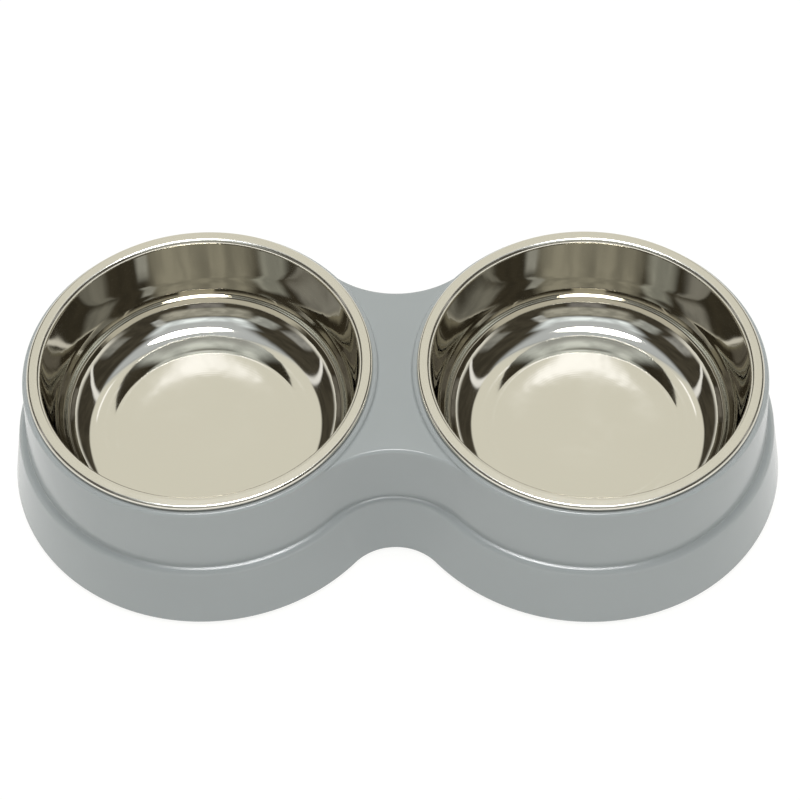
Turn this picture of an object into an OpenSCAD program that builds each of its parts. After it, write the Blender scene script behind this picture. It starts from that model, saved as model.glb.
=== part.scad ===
// Double pet bowl: a hollow two-tier moulded base with two lobes, a pressed steel
// bowl dropped into each lobe, and eight rubber feet pushed into bosses underneath.
// X runs along the two bowls, Y from front to back, Z up from the surface it stands on.

/* [Steel bowls] */
// Diameter of a bowl over its rolled rim
bowl_d = 150; // [120:1:190]
// Depth of a bowl, from the top of its rim to the foot of its wall
bowl_depth = 45.6; // [36:0.2:54]
// Thickness of the steel sheet
sheet_t = 0.8; // [0.5:0.1:1.2]
// Width of the flat rim between its two bends
rim_flat_w = 2.8; // [2:0.1:5]
// Height of the rolled outer edge of the rim
rim_h = 2.8; // [2.2:0.1:3.6]
// Radius of the bend from the rim into the wall
mouth_bend_r = 2; // [1.4:0.1:3]
// How far the wall leans inwards between the mouth and the floor corner
wall_lean = 2.2; // [1:0.1:5]
// Radius of the round corner between the wall and the floor
corner_r = 18.5; // [10:0.5:20]
// Width of the shallow groove between the corner and the disc in the middle of the floor
groove_w = 8.6; // [4:0.2:14]
// Slope of the groove's side next to the disc, in degrees
groove_in = 4; // [2:0.5:8]
// Slope of the groove's side next to the corner, in degrees
groove_out = 7.3; // [3:0.1:12]
// How far the middle of the disc is dished below its edge
disc_dish = 0.73; // [0.2:0.01:1.2]

/* [Moulded base] */
// Height of the lower tier, from its bottom edge to the ledge
lower_h = 31.5; // [26:0.5:40]
// Height of the upper tier, from the ledge to the deck between the bowls
upper_h = 32.8; // [28:0.1:40]
// Height of the collars round the bowls above the deck
collar_h = 2; // [1.8:0.1:4]
// Width of collar that shows round a bowl's rim
collar_margin = 2; // [1.4:0.1:5]
// Narrowest distance between the two collars
collar_gap = 14.9; // [10:0.1:24]
// Thickness of the moulded walls
wall_t = 3; // [2:0.1:3.6]
// How far a lobe spreads between its collar's top and the ledge
upper_flare = 3; // [1:0.1:5]
// Width of the rounded ledge round a lobe
ledge_w = 3.6; // [2.4:0.1:5]
// How far a lobe spreads between the ledge and the bottom edge
lower_flare = 5.1; // [2:0.1:8]
// Width of the waist across the deck, front to back
waist_w = 86.4; // [80:0.2:92]
// How far each face of the waist spreads between the deck and the ledge
waist_upper_flare = 0.5; // [0.2:0.1:1.5]
// Width of the ledge at the waist
waist_ledge_w = 2.6; // [2.2:0.1:3.2]
// How far each face of the waist spreads between the ledge and the bottom edge
waist_lower_flare = 4.1; // [2.5:0.1:4.5]
// Radius of the rounded front and back edges of the deck
deck_edge_r = 1.6; // [0.8:0.1:2.4]
// Radius of the rounded outer edge of a collar
collar_edge_r = 1.2; // [0.6:0.1:1.6]
// Radius of the rounded bottom edge
bottom_edge_r = 0.8; // [0.3:0.1:1.2]

/* [Seats and stiffening] */
// Clearance all round between a bowl and the hole it drops into
seat_gap = 0.6; // [0.4:0.1:1]
// Thickness of the skirt that hangs round each hole
skirt_t = 2; // [1.2:0.1:2.4]
// Depth of the skirt below the underside of the deck
skirt_h = 9; // [4:0.5:14]
// Thickness of the stiffening ribs
rib_t = 1.8; // [1.2:0.1:3]
// Distance between the two ribs under the waist
rib_gap = 9; // [6:0.5:14]
// Number of gussets behind the skirt on the outer side of each lobe
gusset_n = 5; // [3:1:7]

/* [Rubber feet] */
// Diameter of a foot's pad
foot_d = 11; // [9:0.5:14]
// How far the pad stands below the bottom edge of the base
foot_proud = 1.2; // [0.8:0.1:2]
// How far the pad is sunk above the bottom edge of the base
foot_sunk = 1.2; // [0.6:0.1:2]
// Diameter of the stem that is pushed into a boss
stem_d = 5; // [4:0.2:6]
// Length of the stem
stem_h = 7; // [5:0.5:9]
// Clearance all round the stem in its boss
stem_gap = 0.1; // [0.05:0.05:0.2]
// Thickness of a boss's wall round the stem
boss_wall = 3; // [2:0.1:3.2]
// Thickness of boss left above the stem
boss_cap = 2; // [1.5:0.1:4]

/* [Hidden] */

// Overrun of a cut past the face it opens
over = 1;
// How far the lobes and the web are built past the faces that trim them, one further than the other
lobe_over = over;
web_over = 2 * over;
// How far the ends of the web stand proud of the lobes they run into
seam_step = 0.05;
// Steps of the rounded edges, and of the corner, the groove and the dished disc of a bowl
bottom_steps = 2;
ledge_steps = 5;
edge_steps = 4;
corner_steps = 16;
groove_steps = 4;
disc_steps = 6;
// Steps along an arc of the waist
waist_steps = 16;
round_fn = 128;

// Heights from the floor up
bottom_z = foot_proud;
ledge_z = bottom_z + lower_h;
deck_z = ledge_z + upper_h;
collar_z = deck_z + collar_h;
rim_z = collar_z + rim_h;

// The lobes, from the bowl outwards
collar_r = bowl_d / 2 + collar_margin;
pitch = 2 * collar_r + collar_gap;
half_pitch = pitch / 2;
ledge_in_r = collar_r + upper_flare;
ledge_out_r = ledge_in_r + ledge_w;
bottom_r = ledge_out_r + lower_flare;
deck_waist = waist_w / 2;
ledge_in_waist = deck_waist + waist_upper_flare;
ledge_out_waist = ledge_in_waist + waist_ledge_w;
bottom_waist = ledge_out_waist + waist_lower_flare;

// Radius of a lobe at a height on the upper tier's straight flank
function flank_r(z) = collar_r + upper_flare * (collar_z - z) / (collar_z - ledge_z);
// Half width of the waist at a height on the upper tier's straight flank
function flank_waist(z) = deck_waist + waist_upper_flare * (deck_z - z) / (deck_z - ledge_z);

// Radius of the arc that blends two lobes of radius r at a waist of half width w
function blend_r(r, w) = (w * w + half_pitch * half_pitch - r * r) / (2 * (r - w));
function arc_points(x, y, r, a0, a1) =
  [for (i = [0:waist_steps]) let (a = a0 + (a1 - a0) * i / waist_steps) [x + r * cos(a), y + r * sin(a)]];

// Plan outline of the web between the lobes: a lobe's centre, the blending arc, and back again
function web_outline(r, w) =
  let (b = blend_r(r, w), y = w + b, a = atan(y / half_pitch))
  concat(
    [[half_pitch, 0]], arc_points(0, y, b, -a, a - 180),
    [[-half_pitch, 0]], arc_points(0, -y, b, 180 - a, a)
  );

// The web through one outline at each level, where a level is [height, radius, waist]
module web(levels) {
  n = 2 * (waist_steps + 2);
  top = len(levels) - 1;
  points = [for (l = levels) for (p = web_outline(l[1] + seam_step, l[2])) [p[0], p[1], l[0]]];
  sides = [for (k = [0:top - 1]) for (i = [0:n - 1]) let (j = (i + 1) % n, s = k * n)
    for (f = [[s + i, s + n + i, s + j], [s + j, s + n + i, s + n + j]]) f];
  lid = [for (i = [n - 1:-1:0]) top * n + i];
  foot = [for (i = [0:n - 1]) i];
  polyhedron(points = points, faces = concat(sides, [lid, foot]), convexity = 4);
}

// Levels carried straight on below the first one and above the last one
function stretched(levels, down, up) =
  let (a = levels[0], b = levels[len(levels) - 1])
  concat([[a[0] - down, a[1], a[2]]], levels, [if (up > 0) [b[0] + up, b[1], b[2]]]);

// A slab wide enough to cut the whole base
module slab(z0, z1) {
  reach = half_pitch + bottom_r + over;
  translate([-reach, -reach, z0]) cube([2 * reach, 2 * reach, z1 - z0]);
}

// Both lobes turned through the same levels
module lobes(levels) {
  last = len(levels) - 1;
  profile = concat([[0, levels[0][0]]], [for (l = levels) [l[1], l[0]]], [[0, levels[last][0]]]);
  for (side = [-1, 1])
    translate([side * half_pitch, 0, 0]) rotate_extrude($fn = round_fn) polygon(profile);
}

bottom_levels = [for (i = [0:bottom_steps]) let (a = 90 * i / bottom_steps, in = bottom_edge_r * (1 - sin(a)))
  [bottom_z + bottom_edge_r * (1 - cos(a)), bottom_r - in, bottom_waist - in]];
ledge_h = min(ledge_w, waist_ledge_w);
ledge_levels = [for (i = [0:ledge_steps]) let (a = 90 * i / ledge_steps, in = 1 - cos(a))
  [ledge_z - ledge_h * (1 - sin(a)), ledge_out_r - ledge_w * in, ledge_out_waist - waist_ledge_w * in]];
deck_levels = [for (i = [0:edge_steps]) let (a = 90 * i / edge_steps)
  let (z = deck_z - deck_edge_r * (1 - sin(a))) [z, flank_r(z), flank_waist(z) - deck_edge_r * (1 - cos(a))]];
collar_levels = [for (i = [0:edge_steps]) let (a = 90 * i / edge_steps)
  let (z = collar_z - collar_edge_r * (1 - sin(a))) [z, flank_r(z) - collar_edge_r * (1 - cos(a))]];

hollow_levels = [
  [bottom_z + bottom_edge_r, bottom_r - wall_t, bottom_waist - wall_t],
  [ledge_z - wall_t - ledge_h / 2, ledge_out_r - wall_t, ledge_out_waist - wall_t],
  [ledge_z - wall_t + ledge_h / 2, ledge_in_r - wall_t, ledge_in_waist - wall_t],
  [deck_z - wall_t, flank_r(deck_z) - wall_t, deck_waist - wall_t]
];

// Inner radius of a bowl at its mouth, and radius of the hole that it drops into
mouth_r = bowl_d / 2 - rim_h / 2 - rim_flat_w - mouth_bend_r;
hole_r = mouth_r + sheet_t + seat_gap;
skirt_z = deck_z - wall_t - skirt_h;
boss_r = stem_d / 2 + stem_gap + boss_wall;
boss_z = bottom_z + foot_sunk;
boss_h = stem_h + boss_cap;
foot_reach = bottom_r - wall_t - boss_r;
// Directions of a lobe's feet from its centre, away from the other lobe first
foot_angles = [-45, 45, 135, -135];

module at_foot(side, i) {
  a = foot_angles[i];
  translate([side * (half_pitch + foot_reach * cos(a)), foot_reach * sin(a), 0]) children();
}

module skirt(side) {
  translate([side * half_pitch, 0, skirt_z])
    cylinder(r = hole_r + skirt_t, h = skirt_h + wall_t / 2, $fn = round_fn);
}

// Radial webs that tie the skirt to the flank, on the half of the lobe away from the waist
module gussets(side) {
  reach = ledge_in_r - wall_t / 2 - hole_r - upper_flare / 2;
  for (i = [0:gusset_n - 1])
    translate([side * half_pitch, 0, 0])
      rotate([0, 0, (side > 0 ? 0 : 180) - 90 + 180 * i / (gusset_n - 1)])
        translate([hole_r, -rib_t / 2, skirt_z])
          cube([reach, rib_t, skirt_h + wall_t / 2]);
}

// Ribs from front to back under the deck between the two skirts
module waist_ribs() {
  depth = 2 * (deck_waist - wall_t / 2);
  for (side = [-1, 1])
    translate([side * rib_gap / 2 - rib_t / 2, -depth / 2, ledge_z])
      cube([rib_t, depth, upper_h - wall_t / 2]);
}

module base_shell() color([0.62, 0.64, 0.65]) difference() {
  union() {
    difference() {
      union() {
        lobes(stretched(concat(bottom_levels, ledge_levels, collar_levels), lobe_over, 0));
        difference() {
          web(stretched(concat(bottom_levels, ledge_levels, deck_levels), web_over, over));
          slab(deck_z, deck_z + over + web_over);
        }
      }
      intersection() {
        union() {
          lobes(stretched(hollow_levels, over + lobe_over, lobe_over));
          web(stretched(hollow_levels, over + web_over, web_over));
        }
        slab(-2 * web_over, deck_z - wall_t);
      }
      slab(-over - web_over, bottom_z);
    }
    for (side = [-1, 1]) {
      skirt(side);
      gussets(side);
      for (i = [0:3]) at_foot(side, i) translate([0, 0, boss_z])
        cylinder(r = boss_r, h = boss_h, $fn = round_fn);
    }
    waist_ribs();
  }
  for (side = [-1, 1]) {
    translate([side * half_pitch, 0, skirt_z - over])
      cylinder(r = hole_r, h = collar_z - skirt_z + 2 * over, $fn = round_fn);
    for (i = [0:3]) at_foot(side, i) translate([0, 0, boss_z - over])
      cylinder(r = stem_d / 2 + stem_gap, h = stem_h + over, $fn = round_fn);
  }
}

// Where a bowl's corner starts, then the groove inside it, the disc's edge and the corner's centre
floor_r = mouth_r - wall_lean - corner_r * (1 - sin(groove_out));
floor_z = rim_z - bowl_depth;
groove_r = groove_w / (sin(groove_in) + sin(groove_out));
groove_x = floor_r - groove_r * sin(groove_out);
groove_z = floor_z + groove_r * cos(groove_out);
disc_r = floor_r - groove_w;
disc_z = groove_z - groove_r * cos(groove_in);
corner_x = floor_r - corner_r * sin(groove_out);
corner_z = floor_z + corner_r * cos(groove_out);

// One face of the sheet, o outwards from the inside of the bowl, from the centre to the rim
function sheet_face(o) = concat(
  [for (i = [0:disc_steps]) let (x = disc_r * i / disc_steps)
    [x, disc_z - o - disc_dish * (1 - pow(x / disc_r, 4))]],
  [for (i = [1:groove_steps - 1]) let (a = -groove_in + (groove_in + groove_out) * i / groove_steps)
    [groove_x + groove_r * sin(a), groove_z - o - groove_r * cos(a)]],
  [for (i = [0:corner_steps]) let (a = groove_out + (90 - groove_out) * i / corner_steps)
    [corner_x + (corner_r + o) * sin(a), corner_z - (corner_r + o) * cos(a)]],
  [for (i = [0:edge_steps]) let (a = 90 * i / edge_steps, r = mouth_bend_r - o)
    [mouth_r + mouth_bend_r - r * cos(a), rim_z - mouth_bend_r + r * sin(a)]]
);
// The rolled edge: half a round from the rim's top, tucked back level underneath
roll_r = rim_h / 2;
roll_centre = [bowl_d / 2 - roll_r, rim_z - roll_r];
function roll_arc(r) = [for (i = [0:2 * edge_steps]) let (a = 90 - 90 * i / edge_steps)
  roll_centre + r * [cos(a), sin(a)]];
tuck = roll_centre - [sheet_t, roll_r];

module bowl(side) {
  outside = sheet_face(sheet_t);
  inside_roll = roll_arc(roll_r - sheet_t);
  profile = concat(
    sheet_face(0), roll_arc(roll_r), [tuck, tuck + [0, sheet_t]],
    [for (i = [len(inside_roll) - 1:-1:0]) inside_roll[i]],
    [for (i = [len(outside) - 1:-1:0]) outside[i]]
  );
  color([0.8, 0.79, 0.74]) translate([side * half_pitch, 0, 0])
    rotate_extrude($fn = round_fn) polygon(profile);
}
module left_bowl() bowl(-1);
module right_bowl() bowl(1);

module rubber_foot(side, i) {
  edge = foot_proud / 2;
  color([0.16, 0.16, 0.16]) at_foot(side, i) rotate_extrude($fn = round_fn) polygon([
    [0, 0], [foot_d / 2 - edge, 0], [foot_d / 2, edge], [foot_d / 2, boss_z],
    [stem_d / 2, boss_z], [stem_d / 2, boss_z + stem_h - edge], [stem_d / 2 - edge, boss_z + stem_h],
    [0, boss_z + stem_h]
  ]);
}
module left_foot_outer_front() rubber_foot(-1, 0);
module left_foot_outer_back() rubber_foot(-1, 1);
module left_foot_inner_back() rubber_foot(-1, 2);
module left_foot_inner_front() rubber_foot(-1, 3);
module right_foot_outer_front() rubber_foot(1, 0);
module right_foot_outer_back() rubber_foot(1, 1);
module right_foot_inner_back() rubber_foot(1, 2);
module right_foot_inner_front() rubber_foot(1, 3);

base_shell();
left_bowl();
right_bowl();
left_foot_outer_front();
left_foot_outer_back();
left_foot_inner_back();
left_foot_inner_front();
right_foot_outer_front();
right_foot_outer_back();
right_foot_inner_back();
right_foot_inner_front();
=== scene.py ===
# %% [markdown]
# This is a double pet bowl: a low moulded stand with two round lobes, a polished steel bowl dropped
# into each lobe, and rubber feet pushed in underneath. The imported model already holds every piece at
# its real size, so the lesson starts by loading it, and each piece made below takes its place from it.

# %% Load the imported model
import math

import bmesh
import bpy
from mathutils import Matrix, Vector


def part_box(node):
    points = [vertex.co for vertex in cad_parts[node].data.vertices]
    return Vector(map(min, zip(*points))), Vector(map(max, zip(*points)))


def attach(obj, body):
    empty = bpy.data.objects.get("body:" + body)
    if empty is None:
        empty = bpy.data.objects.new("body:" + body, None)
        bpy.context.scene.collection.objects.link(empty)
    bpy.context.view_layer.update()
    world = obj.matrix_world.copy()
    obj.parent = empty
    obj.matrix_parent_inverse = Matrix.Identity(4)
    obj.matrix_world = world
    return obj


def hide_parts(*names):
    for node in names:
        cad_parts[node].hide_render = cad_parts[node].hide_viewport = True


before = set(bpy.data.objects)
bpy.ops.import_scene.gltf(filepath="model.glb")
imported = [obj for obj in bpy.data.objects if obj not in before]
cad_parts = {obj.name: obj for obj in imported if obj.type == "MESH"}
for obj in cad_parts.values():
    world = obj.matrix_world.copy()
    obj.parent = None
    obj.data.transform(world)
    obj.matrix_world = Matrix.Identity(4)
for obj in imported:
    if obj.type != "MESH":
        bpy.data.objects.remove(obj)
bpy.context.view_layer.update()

# %% [markdown]
# Every size is in metres, as Blender counts, but a maker of such a stand thinks in millimetres. So
# the sizes are written in millimetres and multiplied by MM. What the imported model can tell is
# measured on it: where the bowls stand, how wide they are and how high each edge lies.

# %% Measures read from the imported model
MM = 0.001

bowl_low, bowl_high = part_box("right_bowl")
stand_low, stand_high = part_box("base_shell")
foot_low, foot_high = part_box("right_foot_outer_front")

half_pitch = (bowl_low.x + bowl_high.x) / 2
bowl_r = (bowl_high.x - bowl_low.x) / 2
rim_z = bowl_high.z
collar_z = stand_high.z
bottom_z = stand_low.z
bottom_r = stand_high.x - half_pitch
LEFT, RIGHT = -1, 1

print("bowl across", round(2 * bowl_r / MM, 1), "mm, pitch", round(2 * half_pitch / MM, 1), "mm")

# %% [markdown]
# The photograph was taken with a long lens from above and in front, which is why the two lobes look
# almost alike and the far side is hardly smaller than the near one. A camera in Blender looks down its
# own -Z axis, so it is tipped up from straight down, turned a little to the left and rolled a
# little, and then set in its place.

# %% Camera
CAMERA_PLACE = Vector((16.6, -588.3, 850.3)) * MM
CAMERA_TIP = math.radians(36.1)
CAMERA_TURN = math.radians(1.43)
CAMERA_ROLL = math.radians(-1.2)
CAMERA_LENS = 101.8

camera_data = bpy.data.cameras.new("camera")
camera_data.lens = CAMERA_LENS
camera_data.sensor_width = 36
camera = bpy.data.objects.new("camera", camera_data)
camera.matrix_world = (
    Matrix.Translation(CAMERA_PLACE)
    @ Matrix.Rotation(CAMERA_TURN, 4, "Z")
    @ Matrix.Rotation(CAMERA_TIP, 4, "X")
    @ Matrix.Rotation(CAMERA_ROLL, 4, "Z")
)
bpy.context.scene.collection.objects.link(camera)
bpy.context.scene.camera = camera
print("camera is", round(CAMERA_PLACE.length, 3), "m from the middle of the floor under the stand")

# %% [markdown]
# Pressed and moulded shapes are mostly straight runs and arcs. A bmesh can draw them the way a turner
# draws a template: a vertex is extruded to make a line, and spun about a centre to make an arc. The
# helpers below are that pen. Seen from the front, a positive turn about +Y runs clockwise.

# %% Pen for profiles and outlines
def pen_line(bm, vert, x, z):
    """Draws a straight line in the upright plane to a place and gives its end."""
    end = bmesh.ops.extrude_vert_indiv(bm, verts=[vert])["verts"][0]
    end.co = (x, vert.co.y, z)
    return end


def pen_arc(bm, vert, centre, axis, angle, steps):
    """Spins a vertex about a centre and gives the end of the arc that it draws."""
    swept = bmesh.ops.spin(bm, geom=[vert], cent=centre, axis=axis, angle=angle, steps=steps)
    return next(g for g in swept["geom_last"] if isinstance(g, bmesh.types.BMVert))


def add_loop(bm, draw, *sizes):
    """Draws a closed outline in a bmesh of its own, where spinning is quick, and adds it to another."""
    fresh = bmesh.new()
    draw(fresh, *sizes)
    carrier = bpy.data.meshes.new("outline")
    fresh.to_mesh(carrier)
    fresh.free()
    count = len(bm.edges)
    bm.from_mesh(carrier)
    bpy.data.meshes.remove(carrier)
    bm.edges.ensure_lookup_table()
    return bm.edges[count:]


def turn_about(bm, axis_x, steps):
    """Turns all that a bmesh holds once round an upright axis."""
    geom = bm.verts[:] + bm.edges[:]
    bmesh.ops.spin(
        bm, geom=geom, cent=(axis_x, 0, 0), axis=(0, 0, 1), angle=math.tau, steps=steps, use_merge=True
    )


# %% [markdown]
# A finished piece is a mesh whose object stays at the origin. Doubles are merged first, so that seams
# and poles close, then the faces are turned outwards, and edges sharper than a given angle are marked so
# that only they look sharp. The weighted normals keep broad faces flat beside small rounded edges.

# %% Turn a bmesh into a piece
MERGE = 0.001 * MM
SHARP = math.radians(40)


def make_piece(bm, name, weighted=False):
    bmesh.ops.remove_doubles(bm, verts=bm.verts, dist=MERGE)
    bmesh.ops.recalc_face_normals(bm, faces=bm.faces)
    mesh = bpy.data.meshes.new(name)
    bm.to_mesh(mesh)
    bm.free()
    mesh.shade_smooth()
    mesh.set_sharp_from_angle(angle=SHARP)
    piece = bpy.data.objects.new(name, mesh)
    bpy.context.scene.collection.objects.link(piece)
    if weighted:
        weights = piece.modifiers.new("weighted normals", "WEIGHTED_NORMAL")
        weights.keep_sharp = True
    print(name, "has", len(mesh.polygons), "faces")
    return piece


# %% [markdown]
# A bowl is pressed from one round blank of steel sheet. The middle of its floor is a dished disc with a
# shallow groove round it, a round corner leads up into a wall that leans out a little, and the mouth
# bends over into a flat rim whose outer edge is rolled under. Polished steel shows every kink, so each
# arc ends at the slope of what follows it. The low ridge round the disc is the one exception.

# %% Sizes of the pressed bowls
SHEET_T = 0.8 * MM
RIM_FLAT_W = 2.8 * MM
ROLL_R = 1.4 * MM
MOUTH_R = 2.0 * MM
WALL_LEAN = 2.2 * MM
CORNER_R = 18.5 * MM
BOWL_DEPTH = 45.6 * MM
GROOVE_W = 8.6 * MM
GROOVE_IN = math.radians(4)
GROOVE_OUT = math.radians(7.3)
DISC_DISH = 0.73 * MM
BOWL_STEPS = 256

floor_z = rim_z - BOWL_DEPTH
mouth_in_r = bowl_r - ROLL_R - RIM_FLAT_W - MOUTH_R
floor_r = mouth_in_r - WALL_LEAN - CORNER_R * (1 - math.sin(GROOVE_OUT))
corner_x = floor_r - CORNER_R * math.sin(GROOVE_OUT)
corner_z = floor_z + CORNER_R * math.cos(GROOVE_OUT)
groove_r = GROOVE_W / (math.sin(GROOVE_IN) + math.sin(GROOVE_OUT))
groove_x = floor_r - groove_r * math.sin(GROOVE_OUT)
groove_z = floor_z + groove_r * math.cos(GROOVE_OUT)
disc_r = floor_r - GROOVE_W
disc_z = groove_z - groove_r * math.cos(GROOVE_IN)
lean = math.atan(WALL_LEAN / (rim_z - MOUTH_R - corner_z))
print("wall leans", round(math.degrees(lean), 1), "degrees")
print("disc is", round(2 * disc_r / MM, 1), "mm across")

# %% [markdown]
# The profile is drawn twice, once along the inside of the sheet and once along its outside, and both
# lines end at the rolled edge. The disc deepens with the fourth power of the radius, so it is nearly
# flat in the middle and turns up at its edge. The last step of the groove is a line to the place where
# the corner starts. A long straight stretch gets a point close to each end, which keeps its shading
# straight. The closed profile is turned round the bowl's axis in one full spin.

# %% Press a bowl
ABOUT_Y = (0, 1, 0)
HOLD = 0.4 * MM
DISC_POWER = 4
DISC_STEPS = 24
GROOVE_STEPS = 12
CORNER_STEPS = 28
MOUTH_STEPS = 8
ROLL_STEPS = 16
INNER_ROLL_STEPS = 12


def pen_held_line(bm, vert, x, z):
    """Draws a straight line with a point close to each of its ends."""
    end = Vector((x, vert.co.y, z))
    step = (end - vert.co).normalized() * HOLD
    for place in (vert.co + step, end - step, end):
        vert = pen_line(bm, vert, place.x, place.z)
    return vert


def draw_sheet_face(bm, axis_x, out):
    """Draws one face of the sheet from the bowl's axis to the rim, out being the distance outwards."""
    vert = bm.verts.new((axis_x, 0, disc_z - out - DISC_DISH))
    for i in range(1, DISC_STEPS + 1):
        share = i / DISC_STEPS
        deep = DISC_DISH * (1 - share**DISC_POWER)
        vert = pen_line(bm, vert, axis_x + disc_r * share, disc_z - out - deep)
    groove_turn = (GROOVE_IN + GROOVE_OUT) * (GROOVE_STEPS - 1) / GROOVE_STEPS
    groove_centre = (axis_x + groove_x, 0, groove_z - out)
    vert = pen_arc(bm, vert, groove_centre, ABOUT_Y, -groove_turn, GROOVE_STEPS - 1)
    arc_r = CORNER_R + out
    arc_x, arc_z = corner_x + arc_r * math.sin(GROOVE_OUT), corner_z - arc_r * math.cos(GROOVE_OUT)
    vert = pen_line(bm, vert, axis_x + arc_x, arc_z)
    corner_turn = math.pi / 2 - GROOVE_OUT - lean
    vert = pen_arc(bm, vert, (axis_x + corner_x, 0, corner_z), ABOUT_Y, -corner_turn, CORNER_STEPS)
    bend_centre = Vector((axis_x + mouth_in_r + MOUTH_R, 0, rim_z - MOUTH_R))
    bend_r = MOUTH_R - out
    vert = pen_held_line(
        bm, vert, bend_centre.x - bend_r * math.cos(lean), bend_centre.z + bend_r * math.sin(lean)
    )
    return pen_arc(bm, vert, bend_centre, ABOUT_Y, math.pi / 2 - lean, MOUTH_STEPS)


def press_bowls():
    """Presses the right bowl, and the left one is a copy of it."""
    bm = bmesh.new()
    axis_x = half_pitch
    roll_x, roll_z = axis_x + bowl_r - ROLL_R, rim_z - ROLL_R
    inside = draw_sheet_face(bm, axis_x, 0)
    inside = pen_held_line(bm, inside, roll_x, rim_z)
    inside = pen_arc(bm, inside, (roll_x, 0, roll_z), ABOUT_Y, math.pi, ROLL_STEPS)
    outside = draw_sheet_face(bm, axis_x, SHEET_T)
    outside = pen_held_line(bm, outside, roll_x, rim_z - SHEET_T)
    outside = pen_arc(bm, outside, (roll_x, 0, roll_z), ABOUT_Y, math.pi, INNER_ROLL_STEPS)
    tuck_x = roll_x - SHEET_T
    inside = pen_line(bm, inside, tuck_x, roll_z - ROLL_R)
    outside = pen_line(bm, outside, tuck_x, roll_z - ROLL_R + SHEET_T)
    pen_line(bm, inside, tuck_x, outside.co.z)
    turn_about(bm, axis_x, BOWL_STEPS)
    other = bm.copy()
    bmesh.ops.translate(other, verts=other.verts, vec=(-2 * half_pitch, 0, 0))
    return {RIGHT: make_piece(bm, "right_steel_bowl"), LEFT: make_piece(other, "left_steel_bowl")}


steel_bowls = press_bowls()

# %% [markdown]
# The stand is one injection moulding: a hollow skin with two tiers. Seen from above, each height of it
# is the same kind of outline, two round lobes joined by arcs that curve in at the waist. So the skin is
# made as rings, one outline at each height, each drawn with the pen and bridged to the next.

# %% Sizes of the moulded stand
COLLAR_H = 2.0 * MM
LOWER_H = 31.5 * MM
WALL_T = 3.0 * MM
COLLAR_REACH = 2.0 * MM
UPPER_FLARE = 3.0 * MM
LEDGE_W = 3.6 * MM
WAIST_LEDGE_W = 2.6 * MM
DECK_WAIST = 43.2 * MM
WAIST_UPPER_FLARE = 0.5 * MM
WAIST_LOWER_FLARE = 4.1 * MM
DECK_EDGE_R = 1.6 * MM
COLLAR_EDGE_R = 1.2 * MM
BOTTOM_EDGE_R = 0.8 * MM
CREASE_R = 0.5 * MM
HOLE_EDGE_R = 0.4 * MM
COLLAR_FOOT_R = 0.8 * MM

deck_z = collar_z - COLLAR_H
ledge_z = bottom_z + LOWER_H
under_deck_z = deck_z - WALL_T
collar_r = bowl_r + COLLAR_REACH
ledge_in_r = collar_r + UPPER_FLARE
ledge_out_r = ledge_in_r + LEDGE_W
ledge_in_waist = DECK_WAIST + WAIST_UPPER_FLARE
ledge_out_waist = ledge_in_waist + WAIST_LEDGE_W
bottom_waist = ledge_out_waist + WAIST_LOWER_FLARE
print("radius of the lobes at the bottom", round(bottom_r / MM, 1), "mm")
print("half width of the waist at the bottom", round(bottom_waist / MM, 1), "mm")

# %% [markdown]
# A ring needs the radius of its lobes and half the width of its waist. The arc at the waist touches
# both lobes without a corner, which fixes its radius. Each ring has the same number of vertices on its
# lobes and on its waist arcs, so bridging pairs them one to one.

# %% Draw one ring of the skin
ABOUT_Z = (0, 0, 1)
LOBE_STEPS = 168
WAIST_STEPS = 40


def waist_arc(lobe_r, waist):
    """Radius of the arc at the waist, and the angle at a lobe's centre from the X axis to its centre."""
    arc_r = (waist**2 + half_pitch**2 - lobe_r**2) / (2 * (lobe_r - waist))
    return arc_r, math.atan((waist + arc_r) / half_pitch)


def draw_ring(bm, z, lobe_r, waist):
    """Draws the outline of the skin at one height."""
    arc_r, tilt = waist_arc(lobe_r, waist)
    lobe_turn, arc_turn = math.tau - 2 * tilt, math.pi - 2 * tilt
    first = bm.verts.new((half_pitch - lobe_r * math.cos(tilt), -lobe_r * math.sin(tilt), z))
    vert = first
    for side in (RIGHT, LEFT):
        vert = pen_arc(bm, vert, (side * half_pitch, 0, z), ABOUT_Z, lobe_turn, LOBE_STEPS)
        vert = pen_arc(bm, vert, (0, side * (waist + arc_r), z), ABOUT_Z, -arc_turn, WAIST_STEPS)
    bmesh.ops.pointmerge(bm, verts=[first, vert], merge_co=first.co)


# %% [markdown]
# The heights of the skin are listed from the deck down the outside, round the bottom edge and up the
# inside again. The two tiers are straight flanks, the ledge between them is a quarter round with a tiny
# fillet in the crease above it, and every edge is eased, as moulded plastic always is. Bridging tells
# which way round two outlines run by the step in height between them, so the level lands get a tiny fall.

# %% Heights of the skin
def flank_r(z):
    return collar_r + UPPER_FLARE * (collar_z - z) / (collar_z - ledge_z)


def flank_waist(z):
    return DECK_WAIST + WAIST_UPPER_FLARE * (deck_z - z) / (deck_z - ledge_z)


def quarter(steps):
    """Sine and cosine along a quarter turn, from level to upright."""
    angles = [math.pi / 2 * i / steps for i in range(steps + 1)]
    return [(math.sin(a), math.cos(a)) for a in angles]


LAND_FALL = 0.02 * MM
DECK_EDGE_STEPS = 8
CREASE_STEPS = 4
LEDGE_STEPS = 10
BOTTOM_EDGE_STEPS = 4

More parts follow.
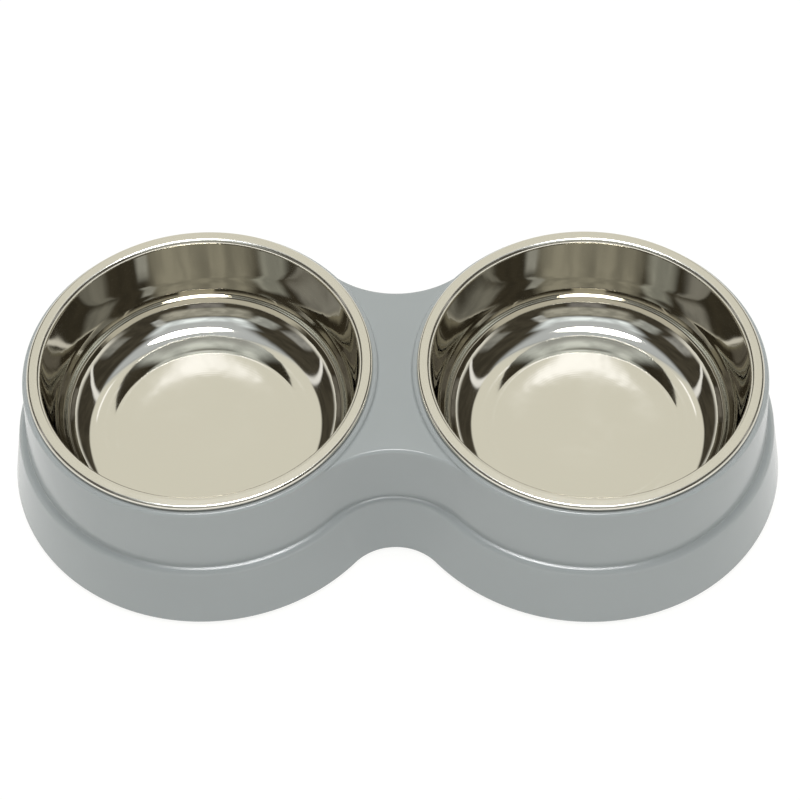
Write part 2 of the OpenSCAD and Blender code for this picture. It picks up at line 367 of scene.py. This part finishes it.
levels = []
for s, c in quarter(DECK_EDGE_STEPS):
    z = deck_z - DECK_EDGE_R * (1 - c)
    levels.append((z, flank_r(z), flank_waist(z) - DECK_EDGE_R * (1 - s)))
for s, c in quarter(CREASE_STEPS):
    step = CREASE_R * (1 - c)
    z = ledge_z + CREASE_R * (1 - s)
    levels.append((z, flank_r(z) + step, flank_waist(z) + step))
ledge_drop = min(LEDGE_W, WAIST_LEDGE_W)
for s, c in quarter(LEDGE_STEPS)[1:]:
    levels.append(
        (ledge_z - ledge_drop * (1 - c), ledge_in_r + LEDGE_W * s, ledge_in_waist + WAIST_LEDGE_W * s)
    )
for s, c in quarter(BOTTOM_EDGE_STEPS):
    inset = BOTTOM_EDGE_R * (1 - c)
    levels.append((bottom_z + BOTTOM_EDGE_R * (1 - s), bottom_r - inset, bottom_waist - inset))
for s, c in quarter(BOTTOM_EDGE_STEPS):
    inset = WALL_T - BOTTOM_EDGE_R * (1 - s)
    z = bottom_z + LAND_FALL + BOTTOM_EDGE_R * (1 - c)
    levels.append((z, bottom_r - inset, bottom_waist - inset))
levels.append((ledge_z - WALL_T - ledge_drop / 2, ledge_out_r - WALL_T, ledge_out_waist - WALL_T))
levels.append((ledge_z - WALL_T + ledge_drop / 2, ledge_in_r - WALL_T, ledge_in_waist - WALL_T))
levels.append((under_deck_z, flank_r(deck_z) - WALL_T, DECK_WAIST - WALL_T))
print("the skin has", len(levels), "rings")

# %% [markdown]
# Round each bowl the lobe rises into a collar with a hole in it. Below the deck the hole goes on as a
# skirt that keeps the bowl upright. Collar and skirt are one turned strip, drawn as circles. Only the
# stretch of the collar that stands on the deck has a small fillet at its foot, which fades out
# where the collar runs into the flank.

# %% Draw one circle of a collar
FOOT_STEPS = 72
FOOT_FADE = 10.5 * MM

_, deck_tilt = waist_arc(flank_r(deck_z), flank_waist(deck_z) - DECK_EDGE_R)


def draw_circle(bm, side, z, r, foot=0):
    """Draws a circle round a bowl's axis, pushed out by foot where it stands on the deck."""
    start_angle = math.pi + deck_tilt if side == RIGHT else deck_tilt
    centre = Vector((side * half_pitch, 0, z))
    first = bm.verts.new(centre + r * Vector((math.cos(start_angle), math.sin(start_angle), 0)))
    vert = pen_arc(bm, first, centre, ABOUT_Z, math.tau - 2 * deck_tilt, LOBE_STEPS)
    kept = set(bm.verts)
    vert = pen_arc(bm, vert, centre, ABOUT_Z, 2 * deck_tilt, FOOT_STEPS)
    for v in (v for v in bm.verts if v not in kept):
        outward = (v.co - centre) / r
        angle_from_x = math.acos(max(-1, min(1, -side * outward.x)))
        way_in = max(0, (deck_tilt - angle_from_x) * r)
        v.co += outward * foot * min(1, way_in / FOOT_FADE) ** 2
    bmesh.ops.pointmerge(bm, verts=[first, vert], merge_co=first.co)


# %% [markdown]
# The circles are listed from the deck up over the collar, down through the hole and back up outside
# the skirt. The deck between the collars and the ceiling of the hollow under it are the two flat faces
# that close the skin: each is filled between the edges that are still open at its height.

# %% Mould the stand
HOLE_GAP = 0.6 * MM
SKIRT_T = 2.0 * MM
SKIRT_H = 9.0 * MM
COLLAR_FOOT_STEPS = 4
COLLAR_EDGE_STEPS = 6
HOLE_EDGE_STEPS = 3

hole_r = mouth_in_r + SHEET_T + HOLE_GAP
skirt_z = under_deck_z - SKIRT_H

circles = []
for s, c in quarter(COLLAR_FOOT_STEPS):
    z = deck_z + COLLAR_FOOT_R * (1 - c)
    circles.append((z, flank_r(z), COLLAR_FOOT_R * (1 - s)))
for s, c in quarter(COLLAR_EDGE_STEPS):
    z = collar_z - COLLAR_EDGE_R * (1 - s)
    circles.append((z, flank_r(z) - COLLAR_EDGE_R * (1 - c), 0))
for s, c in quarter(HOLE_EDGE_STEPS):
    circles.append((collar_z - LAND_FALL - HOLE_EDGE_R * (1 - c), hole_r + HOLE_EDGE_R * (1 - s), 0))
circles.append((skirt_z, hole_r, 0))
circles.append((skirt_z + LAND_FALL, hole_r + SKIRT_T, 0))
circles.append((under_deck_z, hole_r + SKIRT_T, 0))


def bridge_all(bm, draw, sizes):
    """Draws an outline for each set of sizes and bridges each to the next."""
    loops = [add_loop(bm, draw, *one) for one in sizes]
    for upper, lower in zip(loops, loops[1:]):
        bmesh.ops.bridge_loops(bm, edges=upper + lower)


def open_edges_at(bm, z):
    open_edges = [e for e in bm.edges if len(e.link_faces) == 1]
    return [e for e in open_edges if all(abs(v.co.z - z) < MERGE for v in e.verts)]


def mould_stand():
    bm = bmesh.new()
    bridge_all(bm, draw_ring, levels)
    for side in (LEFT, RIGHT):
        bridge_all(bm, draw_circle, [(side, *circle) for circle in circles])
    bmesh.ops.remove_doubles(bm, verts=bm.verts, dist=MERGE)
    for z in (deck_z, under_deck_z):
        edges = open_edges_at(bm, z)
        filled = bmesh.ops.triangle_fill(bm, edges=edges, use_beauty=True, normal=(0, 0, 1))
        print("flat face at", round(z / MM, 1), "mm takes", len(filled["geom"]), "faces and edges")
    return make_piece(bm, "moulded_stand", weighted=True)


stand = mould_stand()

# %% [markdown]
# Under the deck the moulding has thin gussets behind each skirt, two ribs across the waist and a boss
# for each foot. They are plain plates and turned sleeves that reach a little way into the skin, as a
# mould cuts them. A plate is a cube brought to size, with its edges eased by a bevel.

# %% Mould the ribs, gussets and bosses
RIB_T = 1.8 * MM
RIB_GAP = 9.0 * MM
GUSSETS = 5
PLATE_EDGE_R = 0.4 * MM
STEM_R = 2.5 * MM
STEM_H = 7.0 * MM
BORE_GAP = 0.1 * MM
BOSS_WALL = 3.0 * MM
BOSS_CAP = 2.0 * MM
FOOT_SUNK = 1.2 * MM
BOSS_STEPS = 48
FEET = (("outer_front", -45), ("outer_back", 45), ("inner_back", 135), ("inner_front", -135))

boss_r = STEM_R + BORE_GAP + BOSS_WALL
boss_z = bottom_z + FOOT_SUNK
foot_reach = bottom_r - WALL_T - boss_r


def foot_place(side, angle):
    """Centre of a foot on the floor, its angle counted away from the other lobe."""
    turn = math.radians(angle)
    return Vector((side * (half_pitch + foot_reach * math.cos(turn)), foot_reach * math.sin(turn), 0))


def add_plate(bm, low, high, turn=0, about=(0, 0, 0)):
    """Adds a plate between two corners, turned about an upright line."""
    low, high = Vector(low), Vector(high)
    plate = bmesh.ops.create_cube(bm, size=1)["verts"]
    bmesh.ops.scale(bm, vec=high - low, verts=plate)
    bmesh.ops.translate(bm, vec=(low + high) / 2, verts=plate)
    edges = list({e for v in plate for e in v.link_edges})
    bevelled = bmesh.ops.bevel(
        bm, geom=edges, offset=PLATE_EDGE_R, segments=2, profile=0.5, affect="EDGES", material=-1
    )
    verts = list({v for f in bevelled["faces"] for v in f.verts} | {v for v in plate if v.is_valid})
    turned = Matrix.Translation(about) @ Matrix.Rotation(turn, 4, "Z")
    bmesh.ops.transform(bm, matrix=turned, verts=verts)


def add_turned(bm, centre, profile, steps):
    """Turns a profile of (radius, height) points about an upright line and sets it in place."""
    fresh = bmesh.new()
    vert = fresh.verts.new((profile[0][0], 0, profile[0][1]))
    for x, z in profile[1:]:
        vert = pen_line(fresh, vert, x, z)
    turn_about(fresh, 0, steps)
    bmesh.ops.translate(fresh, verts=fresh.verts, vec=centre)
    carrier = bpy.data.meshes.new("turned")
    fresh.to_mesh(carrier)
    fresh.free()
    bm.from_mesh(carrier)
    bpy.data.meshes.remove(carrier)


def mould_ribs():
    bm = bmesh.new()
    reach = DECK_WAIST - WALL_T / 2
    for side in (LEFT, RIGHT):
        x = side * RIB_GAP / 2
        add_plate(bm, (x - RIB_T / 2, -reach, ledge_z), (x + RIB_T / 2, reach, deck_z - WALL_T / 2))
        for i in range(GUSSETS):
            turn = math.pi * (i / (GUSSETS - 1) - 0.5) + (math.pi if side == LEFT else 0)
            inner, outer = hole_r + SKIRT_T / 2, ledge_in_r - (WALL_T + UPPER_FLARE) / 2
            low, high = (inner, -RIB_T / 2, skirt_z), (outer, RIB_T / 2, deck_z - WALL_T / 2)
            add_plate(bm, low, high, turn, (side * half_pitch, 0, 0))
    return make_piece(bm, "moulded_ribs")


def mould_bosses():
    bm = bmesh.new()
    bore_r = STEM_R + BORE_GAP
    top_z, bore_top_z = boss_z + STEM_H + BOSS_CAP, boss_z + STEM_H
    ease = PLATE_EDGE_R
    profile = (
        (0, bore_top_z), (bore_r, bore_top_z), (bore_r, boss_z + ease), (bore_r + ease, boss_z),
        (boss_r - ease, boss_z), (boss_r, boss_z + ease), (boss_r, top_z - ease), (boss_r - ease, top_z),
        (0, top_z),
    )
    for side in (LEFT, RIGHT):
        for _, angle in FEET:
            add_turned(bm, foot_place(side, angle), profile, BOSS_STEPS)
    return make_piece(bm, "moulded_foot_bosses")


ribs = mould_ribs()
bosses = mould_bosses()

# %% [markdown]
# A rubber foot is a soft pad with a stem. The pad's lower edge is a full soft round, because rubber is
# moulded in an open cavity, and its underside has a shallow cup that grips a smooth floor. The stem
# has a small barb near its top that holds it in the bore.

# %% Mould the rubber feet
PAD_CUP = 0.3 * MM
PAD_LAND = 1.2 * MM
BARB_R = 0.08 * MM
BARB_LOW_SHARE = 0.6
BARB_TOP_SHARE = 0.65
PAD_ROUND_STEPS = 6
RUBBER_FOOT_STEPS = 64


def mould_foot(side, label, angle):
    bm = bmesh.new()
    pad_r = (foot_high.x - foot_low.x) / 2
    round_r = bottom_z / 2
    vert = bm.verts.new((0, 0, PAD_CUP))
    vert = pen_line(bm, vert, pad_r - round_r - PAD_LAND - PAD_CUP, PAD_CUP)
    vert = pen_line(bm, vert, pad_r - round_r - PAD_LAND, 0)
    vert = pen_line(bm, vert, pad_r - round_r, 0)
    vert = pen_arc(bm, vert, (pad_r - round_r, 0, round_r), ABOUT_Y, -math.pi / 2, PAD_ROUND_STEPS)
    vert = pen_line(bm, vert, pad_r, boss_z - PAD_CUP)
    vert = pen_line(bm, vert, pad_r - PAD_CUP, boss_z)
    vert = pen_line(bm, vert, STEM_R, boss_z)
    vert = pen_line(bm, vert, STEM_R, boss_z + STEM_H * BARB_LOW_SHARE)
    vert = pen_line(bm, vert, STEM_R + BARB_R, boss_z + STEM_H * BARB_TOP_SHARE)
    vert = pen_line(bm, vert, STEM_R - PAD_CUP, boss_z + STEM_H)
    pen_line(bm, vert, 0, boss_z + STEM_H)
    turn_about(bm, 0, RUBBER_FOOT_STEPS)
    bmesh.ops.translate(bm, verts=bm.verts, vec=foot_place(side, angle))
    name = ("left_" if side == LEFT else "right_") + "rubber_foot_" + label
    return make_piece(bm, name)


feet = {
    (side, label): mould_foot(side, label, angle) for side in (LEFT, RIGHT) for label, angle in FEET
}

# %% [markdown]
# A material is a small graph of nodes. One helper adds a node, sets its plain values and joins its
# inputs to other nodes, so that each finish below reads as a list of what it is made of. A noise hardly
# leaves the middle of its range, so that stretch is the one that is mapped to a finish's two ends.

# %% Node helpers
NOISE_MIDDLE = (0.3, 0.7)


def add_node(tree, kind, inputs=None, **settings):
    node = tree.nodes.new(kind)
    for key, value in settings.items():
        setattr(node, key, value)
    for key, value in (inputs or {}).items():
        if isinstance(value, bpy.types.NodeSocket):
            tree.links.new(value, node.inputs[key])
        else:
            node.inputs[key].default_value = value
    return node


def new_material(name):
    material = bpy.data.materials.new(name)
    material.use_nodes = True
    tree = material.node_tree
    return material, tree, tree.nodes["Principled BSDF"]


def object_noise(tree, scale, detail=2.0, stretch=(1, 1, 1), distortion=0.0):
    """A noise that stays on the piece, in features of 1/scale metres, stretched where asked."""
    place = add_node(tree, "ShaderNodeTexCoord")
    mapped = add_node(tree, "ShaderNodeMapping", {"Vector": place.outputs["Object"], "Scale": stretch})
    inputs = {"Vector": mapped.outputs["Vector"], "Scale": scale}
    inputs |= {"Detail": detail, "Distortion": distortion}
    return add_node(tree, "ShaderNodeTexNoise", inputs).outputs["Fac"]


def spread(tree, value, low, high, to_low, to_high):
    """Maps a stretch of a value smoothly onto another stretch."""
    inputs = {"Value": value, "From Min": low, "From Max": high, "To Min": to_low, "To Max": to_high}
    return add_node(tree, "ShaderNodeMapRange", inputs, interpolation_type="SMOOTHSTEP").outputs["Result"]


def math_node(tree, kind, first, second=0.0, third=0.0):
    return add_node(tree, "ShaderNodeMath", {0: first, 1: second, 2: third}, operation=kind).outputs[0]


# %% [markdown]
# The stand is satin moulded plastic in a cool mid grey. A satin mould leaves a fine even grain, far
# smaller than a millimetre, that only softens the gloss, and the broad faces are very slightly uneven.
# On top of that comes what handling adds: clouds of gloss where it was wiped and hardly visible ones in
# its tone.

# %% Satin plastic
PLASTIC = (0.348, 0.373, 0.376)
TONE_RANGE = (0.98, 1.02)
ROUGHNESS_RANGE = (0.17, 0.22)


def satin_plastic():
    material, tree, shader = new_material("satin_grey_plastic")
    clouds = object_noise(tree, scale=14, detail=3)
    shade = spread(tree, clouds, *NOISE_MIDDLE, *TONE_RANGE)
    tint = add_node(tree, "ShaderNodeVectorMath", {0: PLASTIC, "Scale": shade}, operation="SCALE")
    tree.links.new(tint.outputs["Vector"], shader.inputs["Base Color"])
    wiped = object_noise(tree, scale=30, detail=4, distortion=0.6)
    tree.links.new(spread(tree, wiped, *NOISE_MIDDLE, *ROUGHNESS_RANGE), shader.inputs["Roughness"])
    grain = object_noise(tree, scale=2600, detail=2)
    flow = object_noise(tree, scale=40, detail=2)
    fine = add_node(tree, "ShaderNodeBump", {"Height": grain, "Strength": 0.18, "Distance": 0.02 * MM})
    bump = add_node(
        tree, "ShaderNodeBump",
        {"Height": flow, "Strength": 0.5, "Distance": 0.08 * MM, "Normal": fine.outputs["Normal"]},
    )
    tree.links.new(bump.outputs["Normal"], shader.inputs["Normal"])
    return material


plastic = satin_plastic()
print("plastic is about", [round(c, 2) for c in PLASTIC])

# %% [markdown]
# The bowls are stainless steel, polished on a wheel while they turn. So the fine marks run in circles
# round the bowl's axis, the wall keeps faint upright ripples from the press, the floor, where food and
# sponge have rubbed, is a little duller and smudged, and the rim is only brushed to a satin.

# %% Polished steel
STEEL = (0.66, 0.637, 0.57)
POLISH = 0.03
SMUDGE_DULL = 0.04
SMUDGE_STRETCH = (0.45, 0.75)
FLOOR_DULL = 0.02
RIM_DULL = 0.14
FLOOR_FADE = 1.5 * MM
RIM_FADE_LOW = 1.8 * MM
RIM_FADE_HIGH = 0.8 * MM
RIPPLE_FADE_LOW = 1.0 * MM
RIPPLE_FADE_HIGH = 6.0 * MM
RIPPLE_RANGE = (0.16, 0.6)


def polished_steel(side):
    name = ("left_" if side == LEFT else "right_") + "polished_steel"
    material, tree, shader = new_material(name)
    shader.inputs["Base Color"].default_value = (*STEEL, 1)
    shader.inputs["Metallic"].default_value = 1
    place = add_node(tree, "ShaderNodeTexCoord").outputs["Object"]
    to_axis = (-side * half_pitch, 0, 0)
    centred = add_node(tree, "ShaderNodeMapping", {"Vector": place, "Location": to_axis}).outputs["Vector"]
    rings = add_node(
        tree, "ShaderNodeTexWave",
        {"Vector": centred, "Scale": 260, "Distortion": 1.5, "Detail": 3, "Detail Scale": 2},
        wave_type="RINGS", rings_direction="Z",
    )
    height = add_node(tree, "ShaderNodeSeparateXYZ", {"Vector": place}).outputs["Z"]
    floor_share = spread(tree, height, floor_z, floor_z + FLOOR_FADE, 1, 0)
    cloudy = object_noise(tree, scale=38, detail=4, distortion=0.8)
    smudge = spread(tree, cloudy, *SMUDGE_STRETCH, 0, 1)
    rim_share = spread(tree, height, rim_z - RIM_FADE_LOW, rim_z - RIM_FADE_HIGH, 0, 1)
    dull = POLISH
    for share, more in ((smudge, SMUDGE_DULL), (floor_share, FLOOR_DULL), (rim_share, RIM_DULL)):
        dull = math_node(tree, "MULTIPLY_ADD", share, more, dull)
    tree.links.new(dull, shader.inputs["Roughness"])
    ripples = object_noise(tree, scale=60, detail=2, stretch=(1, 1, 0.15))
    ripple_share = spread(
        tree, height, floor_z + RIPPLE_FADE_LOW, floor_z + RIPPLE_FADE_HIGH, *RIPPLE_RANGE
    )
    marks = add_node(
        tree, "ShaderNodeBump", {"Height": rings.outputs["Fac"], "Strength": 0.05, "Distance": 0.01 * MM}
    ).outputs["Normal"]
    bump = add_node(
        tree, "ShaderNodeBump",
        {"Height": ripples, "Strength": ripple_share, "Distance": 0.25 * MM, "Normal": marks},
    )
    tree.links.new(bump.outputs["Normal"], shader.inputs["Normal"])
    return material


print("roughness of the steel:", POLISH, "on the wall,", round(POLISH + RIM_DULL, 2), "on the rim")

# %% [markdown]
# The feet are matt black rubber. It has a fine grain, picks up dust, and is a little greyer for it.

# %% Matt rubber
RUBBER = (0.02, 0.02, 0.021)
DUST = (0.09, 0.088, 0.083)
DUST_STRETCH = (0.48, 0.7)
MOST_DUST = 0.5
RUBBER_ROUGHNESS_RANGE = (0.62, 0.85)


def matt_rubber():
    material, tree, shader = new_material("matt_black_rubber")
    dusty = spread(tree, object_noise(tree, scale=420, detail=4), *DUST_STRETCH, 0, MOST_DUST)
    tint = add_node(
        tree, "ShaderNodeMix", {"Factor": dusty, "A": (*RUBBER, 1), "B": (*DUST, 1)}, data_type="RGBA"
    )
    tree.links.new(tint.outputs["Result"], shader.inputs["Base Color"])
    roughness = spread(tree, dusty, 0, MOST_DUST, *RUBBER_ROUGHNESS_RANGE)
    tree.links.new(roughness, shader.inputs["Roughness"])
    grain = object_noise(tree, scale=3500, detail=3)
    bump = add_node(tree, "ShaderNodeBump", {"Height": grain, "Strength": 0.4, "Distance": 0.03 * MM})
    tree.links.new(bump.outputs["Normal"], shader.inputs["Normal"])
    return material


rubber = matt_rubber()
print("rubber is about", RUBBER)

# %% [markdown]
# Each piece rides on its body and takes its finish, and the imported node it stands for, if there is one,
# is hidden.

# %% Dress the pieces
def dress(piece, body, slot, material, *nodes):
    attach(piece, body)
    if nodes:
        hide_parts(*nodes)
    piece.data.materials.append(material)


dress(stand, "base", "base_plastic", plastic, "base_shell")
dress(ribs, "base", "base_plastic", plastic)
dress(bosses, "base", "base_plastic", plastic)
for side, label in ((LEFT, "left"), (RIGHT, "right")):
    dress(steel_bowls[side], f"{label}_bowl", "bowl_steel", polished_steel(side), f"{label}_bowl")
    for foot, _ in FEET:
        dress(feet[side, foot], "base", "foot_rubber", rubber, f"{label}_foot_{foot}")
pieces = [stand, ribs, bosses, *steel_bowls.values(), *feet.values()]
print("dressed", len(pieces), "pieces")

# %% [markdown]
# The studio is plain: a white floor, an oval lamp high overhead and a room of white cloth and dark gaps.
# Polished steel shows that room, so it is what draws the dark and bright bands in the bowls. The room
# is the world's colour, chosen by direction alone: white up to a low horizon, dim above it, and soft
# patches painted over one another. The cloths hang in upright folds, and the lit screens are smooth.

# %% Studio
DIM = (0.07, 0.062, 0.046)
WHITE = (0.95, 0.94, 0.88)
FRONT_WHITE = (1.8, 1.8, 1.78)
HORIZON_FRONT = (11, 17)
HORIZON_BACK = (22, 30)
BEHIND = (-0.55, -0.2)
FOLD_SQUEEZE = (1, 1, 0.12)
FOLD_SCALE = 7
FOLD_RANGE = (0.75, 1.2)
LEAST_DEPTH = 0.02
# Each patch: azimuth of its middle clockwise from +Y, elevation and turn, then half its width, half its
# height and the softness of its edge, all in degrees, then its colour
CLOTHS = (
    ((180, 42, 0), (26, 12, 10), (0.44, 0.43, 0.375)),
    ((180, 70, 0), (21, 12, 9), (1.1, 1.2, 1.28)),
    ((180, 24, 0), (11, 6, 5), (0.26, 0.25, 0.24)),
    ((142, 46, 0), (3, 9, 3), (0.6, 0.62, 0.62)),
    ((-132, 44, 0), (7, 10, 6), (0.5, 0.52, 0.50)),
    ((-105, 36, 0), (8, 9, 6), (0.34, 0.34, 0.33)),
    ((105, 36, 0), (8, 9, 6), (0.30, 0.30, 0.28)),
)
LIGHTS = (
    ((-66, 45.4, -42), (29, 1.3, 1.5), (1.1, 1.1, 1.1)),
    ((66, 45.4, 42), (29, 1.3, 1.5), (1.1, 1.1, 1.1)),
    ((-2, 42, 0), (17, 24, 4), (0.91, 0.895, 0.80)),
    ((0, 88, 0), (17, 23, 8), (0.62, 0.66, 0.70)),
    ((-10, 58.2, 0), (1.0, 2.5, 0.8), (1.55, 1.55, 1.55)),
    ((7.2, 58.2, 0), (1.0, 2.5, 0.8), (1.55, 1.55, 1.55)),
)
LAMP_SIZE = (1.5, 1.0)
LAMP_PLACE = (0, 0.35, 4)
LAMP_STRENGTH = 25.0
FLOOR_HALF_WIDTH = 6
FLOOR_COLOUR = (0.93, 0.93, 0.92, 1)
GLOW_COLOUR = (1, 1, 0.985, 1)
GLOW_STRENGTH = 1.04
GLOW_SHARE = 0.86


def patch_axes(azimuth, elevation, turn):
    """The direction of a patch's middle, and the directions across and up it."""
    aim = Matrix.Rotation(math.radians(-azimuth), 3, "Z")
    aim = aim @ Matrix.Rotation(math.radians(elevation), 3, "X")
    aim = aim @ Matrix.Rotation(math.radians(turn), 3, "Y")
    return aim @ Vector((0, 1, 0)), aim @ Vector((1, 0, 0)), aim @ Vector((0, 0, 1))


def make_world():
    world = bpy.data.worlds.new("studio_room")
    bpy.context.scene.world = world
    world.use_nodes = True
    tree = world.node_tree
    sight = add_node(tree, "ShaderNodeTexCoord").outputs["Generated"]
    split = add_node(tree, "ShaderNodeSeparateXYZ", {"Vector": sight})

    def along(axis):
        inputs = {0: sight, 1: axis}
        return add_node(tree, "ShaderNodeVectorMath", inputs, operation="DOT_PRODUCT").outputs["Value"]

    def paint(colour, tone, share):
        inputs = {"Factor": share, "A": colour, "B": (*tone, 1)}
        return add_node(tree, "ShaderNodeMix", inputs, data_type="RGBA").outputs["Result"]

    def below(degrees):
        low, high = (math.sin(math.radians(d)) for d in degrees)
        return spread(tree, split.outputs["Z"], low, high, 1, 0)

    def paint_patch(colour, aim, reaches, tone):
        """Paints a soft patch over a colour. What lies sideways to it or behind it is left alone."""
        half_w, half_h, soft = reaches
        middle, across, up = patch_axes(*aim)
        depth = along(middle)
        share = math_node(tree, "GREATER_THAN", depth, LEAST_DEPTH)
        for axis, half in ((across, half_w), (up, half_h)):
            reach = math_node(tree, "ABSOLUTE", math_node(tree, "DIVIDE", along(axis), depth))
            low, high = (math.tan(math.radians(half + sign * soft / 2)) for sign in (-1, 1))
            share = math_node(tree, "MULTIPLY", share, spread(tree, reach, low, high, 1, 0))
        return paint(colour, tone, share)

    colour = (*DIM, 1)
    for cloth in CLOTHS:
        colour = paint_patch(colour, *cloth)
    squeezed = add_node(tree, "ShaderNodeMapping", {"Vector": sight, "Scale": FOLD_SQUEEZE})
    waves = {"Vector": squeezed.outputs["Vector"], "Scale": FOLD_SCALE, "Detail": 3}
    noise = add_node(tree, "ShaderNodeTexNoise", waves).outputs["Fac"]
    folds = {0: colour, "Scale": spread(tree, noise, *NOISE_MIDDLE, *FOLD_RANGE)}
    colour = add_node(tree, "ShaderNodeVectorMath", folds, operation="SCALE").outputs[0]
    for light in LIGHTS:
        colour = paint_patch(colour, *light)
    colour = paint(colour, FRONT_WHITE, below(HORIZON_FRONT))
    behind = spread(tree, split.outputs["Y"], *BEHIND, 0, 1)
    colour = paint(colour, WHITE, math_node(tree, "MULTIPLY", below(HORIZON_BACK), behind))
    tree.links.new(colour, tree.nodes["Background"].inputs["Color"])


def make_lamp():
    data = bpy.data.lights.new("overhead_lamp", "AREA")
    data.shape = "ELLIPSE"
    data.size, data.size_y = LAMP_SIZE
    data.energy = LAMP_STRENGTH * math.pi * math.pi / 4 * LAMP_SIZE[0] * LAMP_SIZE[1]
    lamp = bpy.data.objects.new("overhead_lamp", data)
    lamp.location = LAMP_PLACE
    bpy.context.scene.collection.objects.link(lamp)


def make_floor():
    bm = bmesh.new()
    bmesh.ops.create_grid(bm, x_segments=1, y_segments=1, size=FLOOR_HALF_WIDTH)
    floor = make_piece(bm, "studio_floor")
    material, tree, shader = new_material("white_floor")
    shader.inputs["Base Color"].default_value = FLOOR_COLOUR
    shader.inputs["Roughness"].default_value = 0.9
    shader.inputs["Specular IOR Level"].default_value = 0
    path = add_node(tree, "ShaderNodeLightPath")
    seen = path.outputs["Is Camera Ray"]
    for kind in ("Is Glossy Ray", "Is Transmission Ray"):
        seen = math_node(tree, "MAXIMUM", seen, path.outputs[kind])
    share = math_node(tree, "MULTIPLY", seen, GLOW_SHARE)
    glow = add_node(tree, "ShaderNodeEmission", {"Color": GLOW_COLOUR, "Strength": GLOW_STRENGTH})
    mixed = add_node(
        tree, "ShaderNodeMixShader", {0: share, 1: shader.outputs["BSDF"], 2: glow.outputs["Emission"]}
    )
    tree.links.new(mixed.outputs["Shader"], tree.nodes["Material Output"].inputs["Surface"])
    floor.data.materials.append(material)


make_world()
make_lamp()
make_floor()

bpy.context.scene.view_settings.view_transform = "Standard"
print("the room has", len(CLOTHS), "cloths and", len(LIGHTS), "lit screens")
